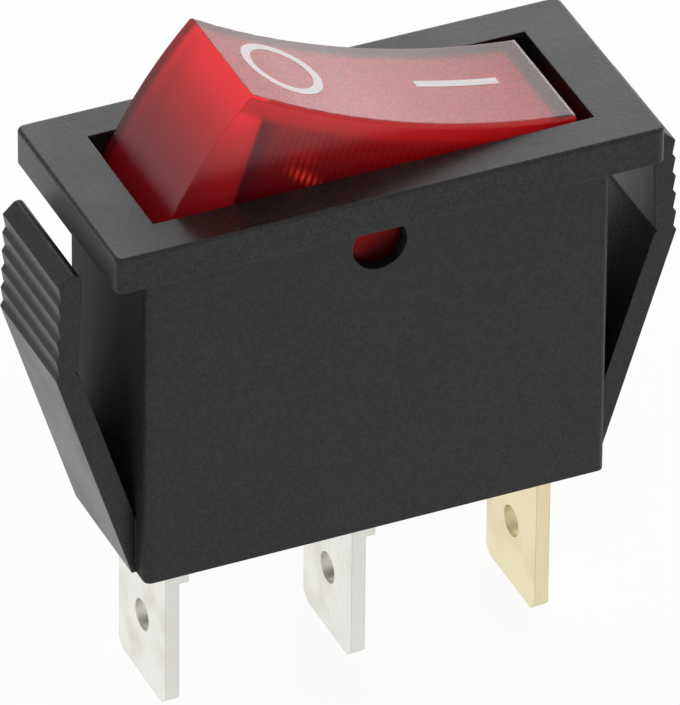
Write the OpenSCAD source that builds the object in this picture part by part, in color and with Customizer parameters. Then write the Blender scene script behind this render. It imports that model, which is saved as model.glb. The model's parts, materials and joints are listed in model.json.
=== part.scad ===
// Slim illuminated panel rocker switch, single pole, three blade terminals.
// Origin: centre of the panel cut-out, on the face of the panel. +Z points out
// of the panel, X runs along the bezel, Y across it. The rocker is shown ON,
// with its right end (+X) pressed. Millimetres and degrees.

/* [Bezel] */
// Length of the bezel
bezel_l = 31.25; // [30:0.05:34]
// Width of the bezel
bezel_w = 13.7; // [12.8:0.1:16]
// Thickness of the bezel above the panel
bezel_t = 2.1; // [1.7:0.1:3]
// Radius of the bezel's upright corners
bezel_corner_r = 0.5; // [0.4:0.1:2]
// Radius of the bezel's top edge
bezel_edge_r = 0.2; // [0.1:0.05:0.35]
// Step by which the window is wider than the cavity, each side
window_step = 0.2; // [0.1:0.05:0.4]

/* [Body] */
// Length of the body that passes through the panel
body_l = 26.6; // [26:0.1:28]
// Width of the body
body_w = 10.2; // [9.8:0.1:11.5]
// Depth of the body behind the panel
body_depth = 20.3; // [19:0.1:24]
// Radius of the body's upright corners
body_corner_r = 0.4; // [0.2:0.1:0.6]
// Thickness of the long side walls
side_wall = 0.9; // [0.8:0.05:1.1]
// Thickness of the end walls
end_wall = 0.75; // [0.5:0.05:0.9]
// Thickness of the floor
floor_t = 1.6; // [1:0.1:2.4]
// Height of the pivot below the panel face
pivot_drop = 2.1; // [1.9:0.1:2.6]
// Diameter of the pivot holes
pivot_hole_d = 3.1; // [2.6:0.1:3.4]

/* [Latch wings] */
// Width of each wing
wing_w = 7.6; // [5:0.1:8]
// Half length over the wings at their lowest ledge
wing_reach = 17.8; // [17.5:0.1:19]
// Inward lean of the toothed face from its lowest ledge to its highest
wing_lean = 0.2; // [0:0.05:0.5]
// Thickness of a wing, from its inner face to the tips of its ledges
wing_t = 1.25; // [1.1:0.05:1.6]
// Height of a wing's top below the panel face
wing_top = 0.4; // [0.1:0.05:0.8]
// Radius of a wing's inner top edge, below which its crown slopes outwards
crown_r = 0.4; // [0.2:0.05:0.5]
// Number of ledges on a wing
ledges = 6; // [3:1:6]
// Pitch of the ledges
ledge_pitch = 1.15; // [1:0.05:1.2]
// Depth of the lowest ledge below the panel face
ledge_low = 6.8; // [6.5:0.05:8]
// How far each ledge stands out
ledge_out = 0.18; // [0.1:0.02:0.3]
// Height of the slope that leads out to each ledge's tip
ledge_rise = 0.3; // [0.1:0.05:0.4]
// Depth of the hinge groove across a wing's inner face, at its bend
hinge_depth = 0.15; // [0.1:0.05:0.25]
// Height of the solid foot that joins a wing to the body
wing_foot = 3.4; // [2:0.1:5]

/* [Rocker] */
// Tilt of the rocker to each side of its middle
rocker_tilt = 18.5; // [14:0.5:20]
// Gap between the rocker's swing and the ends of the window
rocker_end_gap = 0.1; // [0.1:0.05:0.4]
// Gap between the rocker and the cavity's long walls
rocker_side_gap = 0.2; // [0.15:0.05:0.5]
// Height of the rocker's end ridges above the pivot
ridge_h = 7.75; // [7:0.05:8.4]
// Depth of the hollow in the rocker's top
dish = 1.1; // [0.8:0.1:1.5]
// Radius of the bow of the rocker's end faces
end_bow_r = 26; // [22:1:34]
// Height of the bow's centre below the pivot
end_bow_drop = 3.5; // [3:0.1:4.5]
// Depth of the rocker's skirt below the pivot
skirt = 1; // [0.6:0.1:1.2]
// Radius along the rocker's long top edges
rocker_edge_r = 0.25; // [0.1:0.05:0.4]
// Thickness of the rocker's top
lens_top_t = 1.25; // [1:0.05:1.6]
// Thickness of the rocker's side walls
lens_wall = 0.85; // [0.7:0.05:1]
// Thickness of the solid block at each end of the rocker, at its ridge
lens_block = 1; // [0.8:0.1:1.1]
// Pitch of the flutes inside the side walls
flute_pitch = 0.4; // [0.35:0.05:0.8]
// Depth of the flutes
flute_depth = 0.14; // [0.08:0.02:0.2]
// Clearance of the trunnions in the pivot holes, on the radius
trunnion_clear = 0.07; // [0.03:0.01:0.1]
// How far a trunnion's end lies behind the face of the body
trunnion_recess = 0.6; // [0.4:0.05:0.7]
// Radius of the lug round each trunnion
lug_r = 2.3; // [2:0.1:2.5]
// Running gap between a lug's face and the cavity's wall
lug_gap = 0.12; // [0.06:0.02:0.2]

/* [Lamp] */
// Thickness of the lamp holder's plate
holder_t = 1; // [0.8:0.1:1.2]
// Play of the lamp holder inside the rocker
holder_play = 0.06; // [0.04:0.01:0.1]
// Radius of the neon bulb
bulb_r = 2; // [1.7:0.1:2.1]
// Room left between the bulb's round end and the rocker's block
bulb_end_gap = 1.4; // [1:0.1:2]
// Wall of the bulb
bulb_wall = 0.35; // [0.25:0.05:0.5]
// Distance from the middle of the rocker to the bulb's sealed end
bulb_seal_x = 1.6; // [1.2:0.1:1.8]
// Height of the bulb's axis above the pivot
bulb_h = 2.6; // [2.5:0.1:2.7]
// Radius of an electrode and its lead
electrode_r = 0.2; // [0.15:0.05:0.25]
// Distance between the electrodes
electrode_gap = 1; // [0.8:0.1:1.2]
// Radius of the resistor
resistor_r = 1; // [0.8:0.1:1.1]
// Length of bare lead at each end of the resistor
lead_l = 0.6; // [0.5:0.1:0.8]
// Room left between the resistor's outer lead and the rocker's block
lead_end_gap = 0.9; // [0.8:0.1:1.2]

/* [Plunger] */
// Distance from the pivot to the middle of the plunger's round tip
plunger_reach = 9; // [8.6:0.1:9.4]
// Radius of the plunger's tip
tip_r = 0.75; // [0.6:0.05:0.8]
// Radius of the plunger's stem
plunger_r = 1.3; // [1.2:0.05:1.4]
// Running clearance of the plunger in its tube, on the radius
plunger_clear = 0.06; // [0.03:0.01:0.1]
// Wall of the plunger's tube
tube_wall = 0.75; // [0.6:0.05:0.9]
// Length of the tube below the lamp holder's plate
tube_l = 5.3; // [4.5:0.1:5.6]
// Length of the plunger inside the tube
plunger_in = 2.9; // [2.5:0.1:3.2]
// Distance from the middle of the plunger's tip to the floor of its bore
plunger_floor = 2; // [1.6:0.1:2.4]
// Wire radius of the springs
spring_wire_r = 0.15; // [0.1:0.01:0.18]
// Mean radius of the plunger's spring
plunger_coil_r = 0.68; // [0.6:0.02:0.7]
// Mean radius of the lamp's spring
lamp_coil_r = 0.85; // [0.7:0.05:0.9]
// Distance from the rocker's block to the middle of the lamp's spring
lamp_spring_in = 2.2; // [2:0.1:2.4]
// Reach of the lamp's spring below the pivot
lamp_spring_reach = 4.6; // [4.2:0.1:4.8]

/* [Contacts] */
// Tilt of the contact bridge to each side of its middle
bridge_tilt = 8; // [6:0.5:9]
// Thickness of the contact bridge
bridge_t = 0.5; // [0.4:0.05:0.6]
// Width of the contact bridge
bridge_w = 6; // [5.4:0.1:6.4]
// Inner radius of the bridge's middle bend
bend_r = 1; // [0.95:0.05:1.1]
// Distance along the bridge to the end of its ramps
ramp_x = 4.2; // [4:0.1:4.3]
// Distance from the body's end to the middle of the bridge's contact, bridge level
contact_in = 4.1; // [3.8:0.1:4.3]
// Radius of the contact rivets' heads
contact_r = 1.5; // [1.3:0.1:1.6]
// Thickness of the contact rivets' heads
contact_t = 0.6; // [0.5:0.05:0.7]
// Margin of a shelf round the contact or spring that it carries
shelf_edge = 0.8; // [0.6:0.05:0.9]
// Gap left between faces that press on each other when closed
touch_gap = 0.05; // [0.03:0.01:0.08]

/* [Terminals] */
// Width of a terminal's blade
tab_w = 6.3; // [4.8:0.1:6.4]
// Thickness of the terminals
tab_t = 0.8; // [0.5:0.1:0.9]
// Length of a blade below the body
tab_l = 9.9; // [8:0.1:11]
// Distance from the body's end to the middle of the load terminal
tab_in = 2.35; // [2.2:0.05:2.45]
// Shift of the three terminals towards the load end
tab_shift = 0.15; // [0:0.05:0.2]
// Width of the bevel at a blade's tip
tip_bevel_w = 0.5; // [0.3:0.1:1.4]
// Height of the bevel at a blade's tip
tip_bevel_h = 0.5; // [0.3:0.1:1.6]
// Diameter of the hole in a blade
tab_hole_d = 1.8; // [1.4:0.1:2]
// Distance from a blade's tip to its hole
tab_hole_up = 4; // [3.5:0.1:4.6]
// Width of a terminal inside the body
stem_w = 7.2; // [6.8:0.1:7.4]
// How far a locking ear is bent out
ear_out = 0.55; // [0.3:0.05:0.7]
// Height of a locking ear
ear_h = 1.95; // [1:0.05:2.2]
// Clearance of the terminals in their slots
slot_clear = 0.06; // [0.04:0.01:0.1]

/* [Hidden] */
$fn = 96;
eps = 0.01;
over = 1;

// Housing
cavity_l = body_l - 2 * end_wall;
cavity_w = body_w - 2 * side_wall;
floor_z = floor_t - body_depth;
window_w = cavity_w + 2 * window_step;

// Latch wing, as points in X and Z at the +X end
wing_top_x = wing_reach - wing_lean;
wing_bend = [wing_reach - wing_t, -ledge_low + 0.2];

// Rocker, in its own frame with the pivot at the origin
rocker_w = cavity_w - 2 * rocker_side_gap;
ridge_reach = cavity_l / 2 - rocker_end_gap;
ridge_x = sqrt(pow(ridge_reach, 2) - pow(ridge_h, 2));
dish_r = (pow(ridge_x, 2) + pow(dish, 2)) / (2 * dish);
dish_z = ridge_h - dish + dish_r;
end_bow_x = ridge_x - sqrt(pow(end_bow_r, 2) - pow(ridge_h + end_bow_drop, 2));
lens_in_w = rocker_w - 2 * lens_wall;
lens_hollow = ridge_x - lens_block;
trunnion_r = pivot_hole_d / 2 - trunnion_clear;
trunnion_y = body_w / 2 - trunnion_recess;

// Lamp holder, bulb and springs, in the rocker's frame
holder_top = -skirt + holder_t + 0.1;
holder_low = holder_top - holder_t;
holder_l = 2 * (lens_hollow - holder_play);
holder_w = lens_in_w - 2 * flute_depth - 2 * holder_play;
tube_r = plunger_r + plunger_clear;
tube_low = holder_low - tube_l;
seat_z = holder_top - 0.5;
wire_z = holder_top + electrode_r + 0.02;
bulb_back_x = bulb_end_gap - lens_hollow;
elbow_x = bulb_seal_x + 1;
resistor_x = elbow_x + 0.5 + lead_l;
drop_x = lens_hollow - lead_end_gap;
resistor_end = drop_x - lead_l;
resistor_l = resistor_end - resistor_x;
lamp_spring_x = lens_hollow - lamp_spring_in;
lamp_socket_r = lamp_coil_r + spring_wire_r + 0.15;
plunger_top = tube_low + plunger_in;
plunger_bore_r = plunger_coil_r + spring_wire_r + 0.1;
plunger_bore_low = -plunger_reach + plunger_floor;

// Contact bridge, in its own frame with its pivot at the origin
bridge_slope = bridge_tilt + rocker_tilt / 2;
bend_out = bend_r + bridge_t;
bridge_z = -pivot_drop - plunger_reach;
ramp_l = (ramp_x - bend_r * sin(bridge_slope)) / cos(bridge_slope);
ramp_end = [bend_r * sin(bridge_slope) + ramp_l * cos(bridge_slope),
            ramp_l * sin(bridge_slope) - bend_r * cos(bridge_slope)];
contact_x = body_l / 2 - contact_in;
arm_l = (contact_x + contact_r - ramp_x - 0.2) / cos(bridge_tilt);
contact_s = (contact_x - ramp_end[0]) / cos(bridge_tilt);
shank_r = contact_r * 0.45;
prong_in = bridge_w / 2 - 0.6;

// The closed bridge lies level, with its contact face at this height
level_z = bridge_z + ramp_end[1] * cos(bridge_tilt) - ramp_end[0] * sin(bridge_tilt);
contact_level_z = level_z - bridge_t - contact_t;
load_top = contact_level_z - touch_gap - contact_t;
load_contact_x = -(ramp_end[0] * cos(bridge_tilt) + ramp_end[1] * sin(bridge_tilt) + contact_s);
neutral_top = -pivot_drop - (lamp_spring_x + lamp_coil_r + spring_wire_r) * sin(rocker_tilt)
              - lamp_spring_reach * cos(rocker_tilt) - touch_gap;
stop_x = ramp_x * cos(bridge_tilt) - 0.5;
stop_top = bridge_z - bend_out / cos(bridge_slope - bridge_tilt)
           + (stop_x - 0.4) * tan(bridge_slope - bridge_tilt) - touch_gap;

// Terminals, from the load end: middle planes and tip
tab_x = [tab_in - body_l / 2, -tab_shift, body_l / 2 - tab_in - 2 * tab_shift];
tab_tip = -body_depth - tab_l;

// A ring sector about the Y axis, from angle a to angle b, counted from +X to +Z
module arc_y(r1, r2, w, a, b) {
    rotate([90, 0, 0]) rotate([0, 0, a]) rotate_extrude(angle = b - a)
        translate([r1, -w / 2]) square([r2 - r1, w]);
}

// A cylinder of length w centred on the Y axis
module rod_y(r, w) {
    rotate([90, 0, 0]) cylinder(r = r, h = w, center = true);
}

// An outline in X and Z, extruded to width w across Y
module across(w) {
    translate([0, w / 2, 0]) rotate([90, 0, 0]) linear_extrude(height = w) children();
}

// An outline in Y and Z, extruded to thickness t across X
module plate_x(t) {
    translate([-t / 2, 0, 0]) rotate([90, 0, 90]) linear_extrude(height = t) children();
}

// An upright prism on a rectangle with rounded corners
module rounded_prism(l, w, h, r) {
    translate([-l / 2 + r, -w / 2, 0]) cube([l - 2 * r, w, h]);
    translate([-l / 2, -w / 2 + r, 0]) cube([l, w - 2 * r, h]);
    for (x = [-1, 1], y = [-1, 1])
        translate([x * (l / 2 - r), y * (w / 2 - r), 0]) cylinder(r = r, h = h);
}

// The section of a slab's edge: h thick, reaching to x = r, top edge rounded by e
module edge_section(inner, r, h, e) {
    translate([-inner, 0]) square([inner + r, h - e]);
    translate([-inner, 0]) square([inner + r - e, h]);
    translate([r - e, h - e]) circle(r = e);
}

// A slab with round upright corners of radius r and a top edge rounded by e
module rounded_slab(l, w, h, r, e) {
    for (x = [-1, 1], y = [-1, 1])
        translate([x * (l / 2 - r), y * (w / 2 - r), 0]) rotate_extrude()
            intersection() {
                edge_section(0, r, h, e);
                square([r, h]);
            }
    for (side = [-1, 1]) {
        translate([0, side * (w / 2 - r), 0]) rotate([0, 0, side * 90])
            translate([0, (l - 2 * r) / 2, 0]) rotate([90, 0, 0])
            linear_extrude(height = l - 2 * r) edge_section(w / 2 - r, r, h, e);
        translate([side * (l / 2 - r), 0, 0]) rotate([0, 0, side > 0 ? 0 : 180])
            translate([0, (w - 2 * r) / 2, 0]) rotate([90, 0, 0])
            linear_extrude(height = w - 2 * r) edge_section(l / 2 - r, r, h, e);
    }
}

// A round wire through a list of points
module wire(points, r) {
    for (i = [0 : len(points) - 2]) {
        step = points[i + 1] - points[i];
        translate(points[i])
            rotate([0, acos(step[2] / norm(step)), atan2(step[1], step[0])])
            cylinder(r = r, h = norm(step), $fn = 24);
        if (i > 0) translate(points[i]) sphere(r = 1.04 * r, $fn = 24);
    }
}

// A coil spring on the Z axis from z = low to z = high, swept as one closed tube
module coil(coil_r, wire_r, low, high, turns) {
    sides = 6;
    steps = turns * 12;
    rise = (high - low - 2 * wire_r) / steps;
    points = [for (i = [0 : steps], j = [0 : sides - 1])
        let (a = i * 30, b = j * 360 / sides, r = coil_r + wire_r * cos(b))
        [r * cos(a), r * sin(a), low + wire_r + i * rise + wire_r * sin(b)]];
    walls = [for (i = [0 : steps - 1], j = [0 : sides - 1])
        let (k = (j + 1) % sides)
        [i * sides + j, i * sides + k, (i + 1) * sides + k, (i + 1) * sides + j]];
    start = [[for (j = [sides - 1 : -1 : 0]) j]];
    end = [[for (j = [0 : sides - 1]) steps * sides + j]];
    polyhedron(points = points, faces = concat(walls, start, end));
}

// Places for the rocker and the bridge as they stand when ON
module at_rocker() {
    translate([0, 0, -pivot_drop]) rotate([0, rocker_tilt, 0]) children();
}

module at_bridge() {
    translate([0, 0, bridge_z]) rotate([0, -bridge_tilt, 0]) children();
}

// Housing: bezel, body and two latch wings, moulded as one piece

module wing_outline() {
    crown_x = wing_top_x - wing_t + crown_r;
    crown = [for (a = [180 : -15 : 45])
        [crown_x + crown_r * cos(a), -wing_top - crown_r + crown_r * sin(a)]];
    tips = [for (i = [0 : ledges - 1])
        [wing_top_x + wing_lean * i / (ledges - 1), -ledge_low + (ledges - 1 - i) * ledge_pitch]];
    toothed = [for (i = [1 : ledges - 1], k = [0 : 1])
        k == 0 ? tips[i] + [-ledge_out, ledge_rise] : tips[i]];
    foot = [[body_l / 2 + 0.25, -body_depth], [body_l / 2 - end_wall / 2, -body_depth],
            [body_l / 2 - end_wall / 2, -body_depth + wing_foot],
            [body_l / 2, -body_depth + wing_foot]];
    hinge = [wing_bend + [-0.05, -0.15], wing_bend + [hinge_depth, 0], wing_bend + [0, 0.15]];
    polygon(concat(crown, [tips[0]], toothed, foot, hinge));
}

module wings() {
    for (side = [0, 1]) mirror([side, 0, 0]) across(wing_w) wing_outline();
}

// Ribs on the long walls that guide the terminals down to their slots
module terminal_guides() {
    rib = 0.7;
    rib_h = 3.6;
    for (x = tab_x, face = [-1, 1], side = [-1, 1])
        translate([x + face * (tab_t / 2 + slot_clear + rib / 2),
                   side * (cavity_w / 2 - rib / 2 + eps), floor_z + rib_h / 2 - eps])
            cube([rib, rib, rib_h], center = true);
}

module terminal_slots() {
    for (x = tab_x)
        translate([x, 0, -body_depth + floor_t / 2])
            cube([tab_t + 2 * slot_clear, tab_w + 2 * slot_clear, floor_t + 2 * over],
                 center = true);
}

// The rib that the bridge's short end comes down on when the switch is OFF
module bridge_stop() {
    translate([stop_x - 0.4, -cavity_w / 2 - eps, floor_z - eps])
        cube([0.8, cavity_w + 2 * eps, stop_top - floor_z]);
}

module housing() {
    color([0.13, 0.13, 0.13]) {
        difference() {
            union() {
                rounded_slab(bezel_l, bezel_w, bezel_t, bezel_corner_r, bezel_edge_r);
                translate([0, 0, -body_depth])
                    rounded_prism(body_l, body_w, body_depth + eps, body_corner_r);
                wings();
            }
            translate([-cavity_l / 2, -cavity_w / 2, floor_z])
                cube([cavity_l, cavity_w, body_depth + bezel_t]);
            translate([-cavity_l / 2, -window_w / 2, 0])
                cube([cavity_l, window_w, bezel_t + over]);
            translate([0, 0, -pivot_drop]) rod_y(pivot_hole_d / 2, body_w + 2 * over);
            terminal_slots();
        }
        terminal_guides();
        bridge_stop();
    }
}

// Terminals and fixed contact

module blade_outline() {
    half = tab_w / 2;
    difference() {
        polygon([[-half, floor_z], [-half, tab_tip + tip_bevel_h],
                 [-half + tip_bevel_w, tab_tip], [half - tip_bevel_w, tab_tip],
                 [half, tab_tip + tip_bevel_h], [half, floor_z]]);
        translate([0, tab_tip + tab_hole_up]) circle(d = tab_hole_d);
    }
}

// Ears bent out of the blade's edges under the floor, which lock it in its slot
module locking_ears(x) {
    ear_w = 0.9;
    for (side = [-1, 1])
        translate([x + tab_t / 2, side * (tab_w / 2 - ear_w / 2), -body_depth - touch_gap])
            across(ear_w) polygon([[-eps, 0], [ear_out / 2, 0], [ear_out, -ear_h / 2],
                                   [ear_out, -ear_h], [-eps, -ear_h]]);
}

// The flat part of a terminal from its tip up to height top
module terminal_plate(x, top) {
    translate([x, 0, 0]) plate_x(tab_t) {
        blade_outline();
        translate([-stem_w / 2, floor_z]) square([stem_w, top - floor_z]);
    }
}

// A shelf bent over at height top, from the plate at x to the point end
module bent_shelf(x, top, end, w) {
    dir = end > x ? 1 : -1;
    r = tab_t / 2;
    outer = r + tab_t;
    bend_x = x + dir * outer - dir * tab_t / 2;
    translate([bend_x, 0, top - outer])
        if (dir > 0) arc_y(r, outer, w, 90, 180); else arc_y(r, outer, w, 0, 90);
    translate([min(bend_x, end), -w / 2, top - tab_t])
        cube([abs(end - bend_x), w, tab_t]);
}

module load_terminal() {
    shelf_w = 2 * (contact_r + shelf_edge);
    bend = 1.5 * tab_t;
    color([0.86, 0.85, 0.83]) difference() {
        union() {
            terminal_plate(tab_x[0], load_top - bend);
            bent_shelf(tab_x[0], load_top, load_contact_x + contact_r + 0.2, shelf_w);
            locking_ears(tab_x[0]);
        }
        translate([load_contact_x, 0, load_top - tab_t - over])
            cylinder(r = shank_r + 0.02, h = tab_t + 2 * over);
    }
}

module line_terminal() {
    rest_z = bridge_z - bend_out - 0.03;
    prong_w = 0.6;
    prong_top = bridge_z + 0.9;
    color([0.86, 0.85, 0.83]) difference() {
        union() {
            terminal_plate(tab_x[1], rest_z + 0.2);
            for (side = [-1, 1])
                translate([tab_x[1], side * (prong_in + 0.05 + prong_w / 2),
                           (prong_top + floor_z) / 2])
                    cube([tab_t, prong_w, prong_top - floor_z], center = true);
            locking_ears(tab_x[1]);
        }
        translate([0, 0, bridge_z]) rod_y(bend_out + 0.03, 2 * prong_in + 0.1);
    }
}

module neutral_terminal() {
    bend = 1.5 * tab_t;
    shelf_end = (lamp_spring_x - 2) * cos(rocker_tilt);
    shelf_w = 2 * (lamp_coil_r + spring_wire_r + shelf_edge);
    color([0.86, 0.78, 0.52]) {
        terminal_plate(tab_x[2], neutral_top - bend);
        bent_shelf(tab_x[2], neutral_top, shelf_end, shelf_w);
    }
}

// A contact rivet with its domed face down at z = 0 and its head t thick
module rivet(head_t, grip) {
    tail_t = 0.3;
    dome = 0.1;
    dome_r = (pow(contact_r, 2) + pow(dome, 2)) / (2 * dome);
    intersection() {
        cylinder(r = contact_r, h = head_t);
        translate([0, 0, dome_r]) sphere(r = dome_r);
    }
    translate([0, 0, head_t - eps]) cylinder(r = shank_r, h = grip + 2 * eps);
    translate([0, 0, head_t + grip]) cylinder(r = shank_r + 0.3, h = tail_t);
}

module load_contact() {
    color([0.8, 0.8, 0.82]) translate([load_contact_x, 0, load_top + contact_t])
        mirror([0, 0, 1]) rivet(contact_t, tab_t);
}

// Contact bridge: a strip bent in the middle, level arm to the load end, short
// ramp to the other end, notched where the line terminal's prongs hold it

module bridge_arm_outline() {
    ramp = [cos(bridge_slope), sin(bridge_slope)];
    arm = [cos(bridge_tilt), sin(bridge_tilt)];
    mid = (bridge_slope + bridge_tilt) / 2;
    mitre = bridge_t / cos((bridge_slope - bridge_tilt) / 2);
    start = bend_r * [sin(bridge_slope), -cos(bridge_slope)];
    end = ramp_end + arm_l * arm;
    polygon([start, ramp_end, end, end + bridge_t * [arm[1], -arm[0]],
             ramp_end + mitre * [sin(mid), -cos(mid)], start + bridge_t * [ramp[1], -ramp[0]]]);
}

module bridge_ramp_outline() {
    start = bend_r * [sin(bridge_slope), -cos(bridge_slope)];
    drop = bridge_t * [sin(bridge_slope), -cos(bridge_slope)];
    polygon([start, ramp_end, ramp_end + drop, start + drop]);
}

module contact_bridge() {
    notch = 1.1;
    color([0.8, 0.55, 0.35]) at_bridge() difference() {
        union() {
            arc_y(bend_r, bend_out, bridge_w, -90 - bridge_slope - 0.5, -90 + bridge_slope + 0.5);
            mirror([1, 0, 0]) across(bridge_w) bridge_arm_outline();
            across(bridge_w) bridge_ramp_outline();
        }
        for (side = [-1, 1])
            translate([0, side * (prong_in + over), 0])
                cube([2 * notch, 2 * over, 4 * bend_out], center = true);
        at_bridge_contact() translate([0, 0, -over])
            cylinder(r = shank_r + 0.02, h = bridge_t + 2 * over);
    }
}

// The frame of the bridge's contact: on the arm's lower face, +Z into the arm
module at_bridge_contact() {
    mirror([1, 0, 0]) translate([ramp_end[0], 0, ramp_end[1]]) rotate([0, -bridge_tilt, 0])
        translate([contact_s, 0, -bridge_t]) children();
}

module bridge_contact() {
    color([0.8, 0.8, 0.82]) at_bridge() at_bridge_contact()
        translate([0, 0, -contact_t]) rivet(contact_t, bridge_t);
}

// Rocker: one clear red moulding, hollow below, with two trunnions

// The outline of one long half section across the rocker, top edge rounded
module lens_section(r1, r2, w, e) {
    translate([r1, -w / 2 + e]) square([r2 - r1, w - 2 * e]);
    translate([r1 + e, -w / 2]) square([r2 - r1 - e, w]);
    for (side = [-1, 1]) translate([r1 + e, side * (w / 2 - e)]) circle(r = e);
}

module lens_outer() {
    depth = ridge_h + skirt + dish + over;
    intersection() {
        // the dished top, swept about an axis high above the rocker
        translate([0, 0, dish_z]) rotate([90, 0, 0]) rotate([0, 0, -90 - 20])
            rotate_extrude(angle = 40)
            lens_section(dish_r, dish_r + depth, rocker_w, rocker_edge_r);
        // the two bowed ends
        translate([end_bow_x, 0, -end_bow_drop]) rod_y(end_bow_r, rocker_w + over);
        translate([-end_bow_x, 0, -end_bow_drop]) rod_y(end_bow_r, rocker_w + over);
        translate([-cavity_l / 2, -rocker_w, -skirt])
            cube([cavity_l, 2 * rocker_w, 2 * ridge_h]);
    }
}

// The hollow's plan: flutes run up both long walls
module hollow_plan() {
    half = lens_in_w / 2;
    n = floor(2 * lens_hollow / flute_pitch);
    start = -n * flute_pitch / 2;
    row = [for (i = [0 : n - 1], k = [0 : 1])
        [start + (i + k / 2) * flute_pitch, half - (k == 0 ? flute_depth : 0)]];
    front = [for (p = row) [p[0], -p[1]]];
    back = [for (i = [len(row) - 1 : -1 : 0]) row[i]];
    polygon(concat([[-lens_hollow, -half + flute_depth]], front,
                   [[lens_hollow, -half + flute_depth], [lens_hollow, half - flute_depth]],
                   back, [[-lens_hollow, half - flute_depth]]));
}

module lens_hollow_space() {
    difference() {
        translate([0, 0, -lug_r - over]) linear_extrude(height = lug_r + over + ridge_h)
            hollow_plan();
        translate([0, 0, dish_z]) rod_y(dish_r + lens_top_t, rocker_w);
    }
}

module rocker_lens() {
    color([0.78, 0.1, 0.1]) at_rocker() difference() {
        union() {
            lens_outer();
            rod_y(lug_r, cavity_w - 2 * lug_gap);
            rod_y(trunnion_r, 2 * trunnion_y);
        }
        lens_hollow_space();
    }
}

// Lamp holder: a plate in the rocker's mouth with cradles above it, and below
// it the plunger's tube and the lamp spring's socket

module cradle(x, r, h, w) {
    rib_t = 0.8;
    difference() {
        translate([x - rib_t / 2, -w / 2, holder_top - eps])
            cube([rib_t, w, h - holder_top + eps]);
        translate([x, 0, bulb_h]) rotate([0, 90, 0])
            cylinder(r = r + 0.04, h = rib_t + over, center = true);
    }
}

module lamp_holder() {
    color([0.2, 0.2, 0.2]) at_rocker() difference() {
        union() {
            translate([-holder_l / 2, -holder_w / 2, holder_low])
                cube([holder_l, holder_w, holder_t]);
            cradle(bulb_back_x + bulb_r + 0.6, bulb_r, bulb_h - bulb_r / 2, holder_w);
            cradle(bulb_seal_x - 2.8, bulb_r, bulb_h - bulb_r / 2, holder_w);
            translate([0, -electrode_gap / 2, 0])
                cradle(resistor_x + resistor_l / 2, resistor_r, bulb_h - resistor_r / 2,
                       2 * resistor_r + 1);
            translate([0, 0, tube_low])
                cylinder(r = tube_r + tube_wall, h = holder_low - tube_low + eps);
            translate([lamp_spring_x, 0, holder_low - 1.4])
                cylinder(r = lamp_socket_r + 0.4, h = 1.4 + eps);
        }
        translate([0, 0, tube_low - over]) cylinder(r = tube_r, h = seat_z - tube_low + over);
        translate([lamp_spring_x, 0, tube_low]) cylinder(r = lamp_socket_r, h = seat_z - tube_low);
        for (x = [0, lamp_spring_x])
            translate([x, 0, seat_z - over]) cylinder(r = electrode_r + 0.08, h = 3 * over);
    }
}

// Neon bulb, lying along the rocker
module neon_bulb() {
    inner = bulb_r - bulb_wall;
    seal = 1;
    round_x = bulb_back_x + bulb_r;
    color([0.95, 0.75, 0.65]) at_rocker() translate([0, 0, bulb_h]) difference() {
        union() {
            translate([round_x, 0, 0]) rotate([0, 90, 0])
                cylinder(r = bulb_r, h = bulb_seal_x - round_x);
            translate([round_x, 0, 0]) sphere(r = bulb_r);
        }
        translate([round_x, 0, 0]) sphere(r = inner);
        translate([round_x, 0, 0]) rotate([0, 90, 0])
            cylinder(r = inner, h = bulb_seal_x - seal - round_x);
        for (side = [-1, 1])
            translate([bulb_seal_x - seal - over, side * electrode_gap / 2, 0])
                rotate([0, 90, 0]) cylinder(r = electrode_r + 0.02, h = seal + 2 * over);
    }
}

electrode_tip_x = bulb_back_x + bulb_r;

module front_electrode() {
    y = -electrode_gap / 2;
    color([0.75, 0.72, 0.68]) at_rocker()
        wire([[electrode_tip_x, y, bulb_h], [elbow_x, y, bulb_h]], electrode_r);
}

module rear_electrode() {
    y = electrode_gap / 2;
    color([0.75, 0.72, 0.68]) at_rocker()
        wire([[electrode_tip_x, y, bulb_h], [elbow_x, y, bulb_h], [elbow_x, y, wire_z],
              [0, 0, wire_z], [0, 0, seat_z + 0.05]], electrode_r);
}

module resistor() {
    waist = resistor_r * 0.82;
    cap = resistor_l / 4;
    color([0.72, 0.6, 0.42]) at_rocker()
        translate([resistor_x, -electrode_gap / 2, bulb_h]) rotate([0, 90, 0]) {
            cylinder(r = waist, h = resistor_l);
            for (z = [0, resistor_l - cap])
                translate([0, 0, z]) cylinder(r = resistor_r, h = cap);
        }
}

module resistor_leads() {
    y = -electrode_gap / 2;
    joint = 0.05;
    color([0.8, 0.8, 0.8]) at_rocker() {
        wire([[elbow_x + joint, y, bulb_h], [resistor_x - joint, y, bulb_h]], electrode_r);
        wire([[resistor_end + joint, y, bulb_h], [drop_x, y, bulb_h], [drop_x, y, wire_z],
              [lamp_spring_x, 0, wire_z], [lamp_spring_x, 0, seat_z + 0.05]], electrode_r);
    }
}

module lead_sleeve() {
    y = -electrode_gap / 2;
    color([0.9, 0.9, 0.85]) at_rocker() translate([drop_x, y, wire_z + 0.4]) difference() {
        cylinder(r = electrode_r + 0.22, h = bulb_h - wire_z - 0.8);
        translate([0, 0, -over]) cylinder(r = electrode_r + 0.02, h = bulb_h + over);
    }
}

module lamp_spring() {
    color([0.75, 0.75, 0.75]) at_rocker() translate([lamp_spring_x, 0, 0])
        coil(lamp_coil_r, spring_wire_r, -lamp_spring_reach, seat_z - 0.02, 5);
}

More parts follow.
